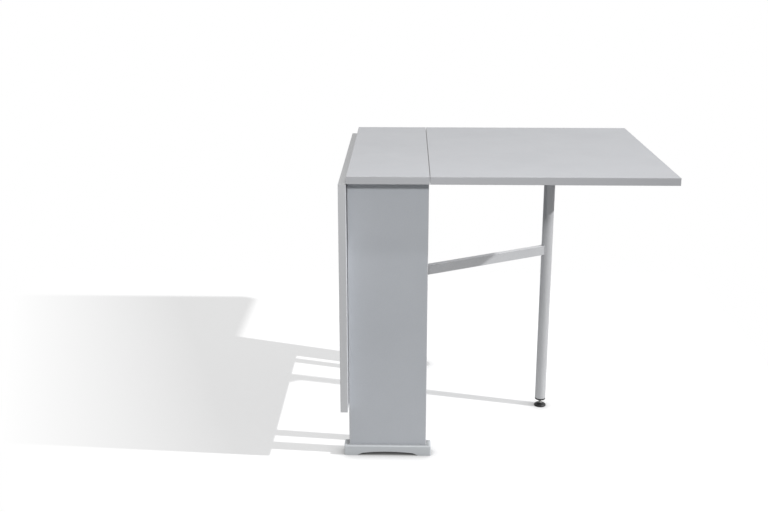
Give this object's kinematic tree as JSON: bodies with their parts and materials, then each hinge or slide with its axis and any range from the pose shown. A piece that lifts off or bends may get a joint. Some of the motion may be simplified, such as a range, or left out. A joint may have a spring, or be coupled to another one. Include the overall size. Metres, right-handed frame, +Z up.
{
  "type": "gateleg drop-leaf table",
  "caption": "Free-standing table with a narrow pedestal on arched shoes and two drop leaves, one raised on a swung-out tubular gate and one hanging.",
  "frame": {"origin": "on the floor, midway between the two shoes of the pedestal", "axes": "+X to the right along the raised leaf, +Y from the front panel to the back panel, +Z up"},
  "size_m": [0.8203, 0.7, 0.75],
  "materials": {
    "grey_laminate": "aluminium-grey melamine",
    "grey_edging": "satin edge band",
    "grey_shoe": "foil-wrapped, satin",
    "silver_tube": "silver powder coat",
    "black_plastic": "moulded, matte",
    "zinc_steel": "zinc plated",
    "beech_dowel": "raw, fluted"
  },
  "bodies": {
    "pedestal": {"fixed_top_board": "grey_laminate", "fixed_top_edging": "grey_edging", "front_panel": "grey_laminate", "front_panel_edging": "grey_edging", "back_panel": "grey_laminate", "back_panel_edging": "grey_edging", "spine_panel": "grey_laminate", "spine_edging": "grey_edging", "front_shoe": "grey_shoe", "back_shoe": "grey_shoe", "shoe_screws": "zinc_steel", "panel_top_dowels": "beech_dowel", "panel_shoe_dowels": "beech_dowel", "spine_dowels": "beech_dowel", "corner_brackets": "zinc_steel", "bracket_screws": "zinc_steel", "bearing_screws": "zinc_steel", "right_upper_bearing": "black_plastic", "right_lower_bearing": "black_plastic", "right_hinge_fixed_plates": "zinc_steel", "right_hinge_pins": "zinc_steel", "right_hinge_fixed_screws": "zinc_steel", "left_upper_bearing": "black_plastic", "left_lower_bearing": "black_plastic", "left_hinge_fixed_plates": "zinc_steel", "left_hinge_pins": "zinc_steel", "left_hinge_fixed_screws": "zinc_steel"},
    "right_leaf": {"right_leaf_board": "grey_laminate", "right_leaf_edging": "grey_edging", "right_hinge_leaf_plates": "zinc_steel", "right_hinge_leaf_screws": "zinc_steel", "right_leg_rest": "black_plastic", "right_rest_screws": "zinc_steel"},
    "right_gate": {"right_pivot_post": "silver_tube", "right_leg_tube": "silver_tube", "right_crossbar": "silver_tube", "right_tube_caps": "black_plastic", "right_foot_inserts": "black_plastic", "right_post_collar": "silver_tube"},
    "right_leg_foot": {"right_leg_foot_stud": "zinc_steel", "right_leg_foot_pad": "black_plastic"},
    "right_post_foot": {"right_post_foot_stud": "zinc_steel", "right_post_foot_pad": "black_plastic"},
    "left_leaf": {"left_leaf_board": "grey_laminate", "left_leaf_edging": "grey_edging", "left_hinge_leaf_plates": "zinc_steel", "left_hinge_leaf_screws": "zinc_steel", "left_leg_rest": "black_plastic", "left_rest_screws": "zinc_steel"},
    "left_gate": {"left_pivot_post": "silver_tube", "left_leg_tube": "silver_tube", "left_crossbar": "silver_tube", "left_tube_caps": "black_plastic", "left_foot_inserts": "black_plastic", "left_post_collar": "silver_tube"},
    "left_leg_foot": {"left_leg_foot_stud": "zinc_steel", "left_leg_foot_pad": "black_plastic"},
    "left_post_foot": {"left_post_foot_stud": "zinc_steel", "left_post_foot_pad": "black_plastic"}
  },
  "joints": [
    {"name": "right_gate_swing", "type": "hinge", "parent": "pedestal", "child": "right_gate", "pos_m": [0.027, -0.239, 0], "axis": [0, 0, 1], "range_deg": [0, 59.65]},
    {"name": "left_gate_swing", "type": "hinge", "parent": "pedestal", "child": "left_gate", "pos_m": [-0.027, 0.239, 0], "axis": [0, 0, -1], "range_deg": [0, 6.8]},
    {"name": "right_leaf_hinge", "type": "hinge", "parent": "pedestal", "child": "right_leaf", "pos_m": [0.1015, 0, 0.73125], "axis": [0, -1, 0], "range_deg": [0, 2]},
    {"name": "left_leaf_hinge", "type": "hinge", "parent": "pedestal", "child": "left_leaf", "pos_m": [-0.1015, 0, 0.73125], "axis": [0, 1, 0], "range_deg": [0, 90]},
    {"name": "right_leg_foot_level", "type": "slide", "parent": "right_gate", "child": "right_leg_foot", "axis": [0, 0, 1], "range_m": [-0.01, 0.008]},
    {"name": "right_post_foot_level", "type": "slide", "parent": "right_gate", "child": "right_post_foot", "axis": [0, 0, 1], "range_m": [-0.01, 0.008]},
    {"name": "left_leg_foot_level", "type": "slide", "parent": "left_gate", "child": "left_leg_foot", "axis": [0, 0, 1], "range_m": [-0.01, 0.008]},
    {"name": "left_post_foot_level", "type": "slide", "parent": "left_gate", "child": "left_post_foot", "axis": [0, 0, 1], "range_m": [-0.01, 0.008]}
  ]
}
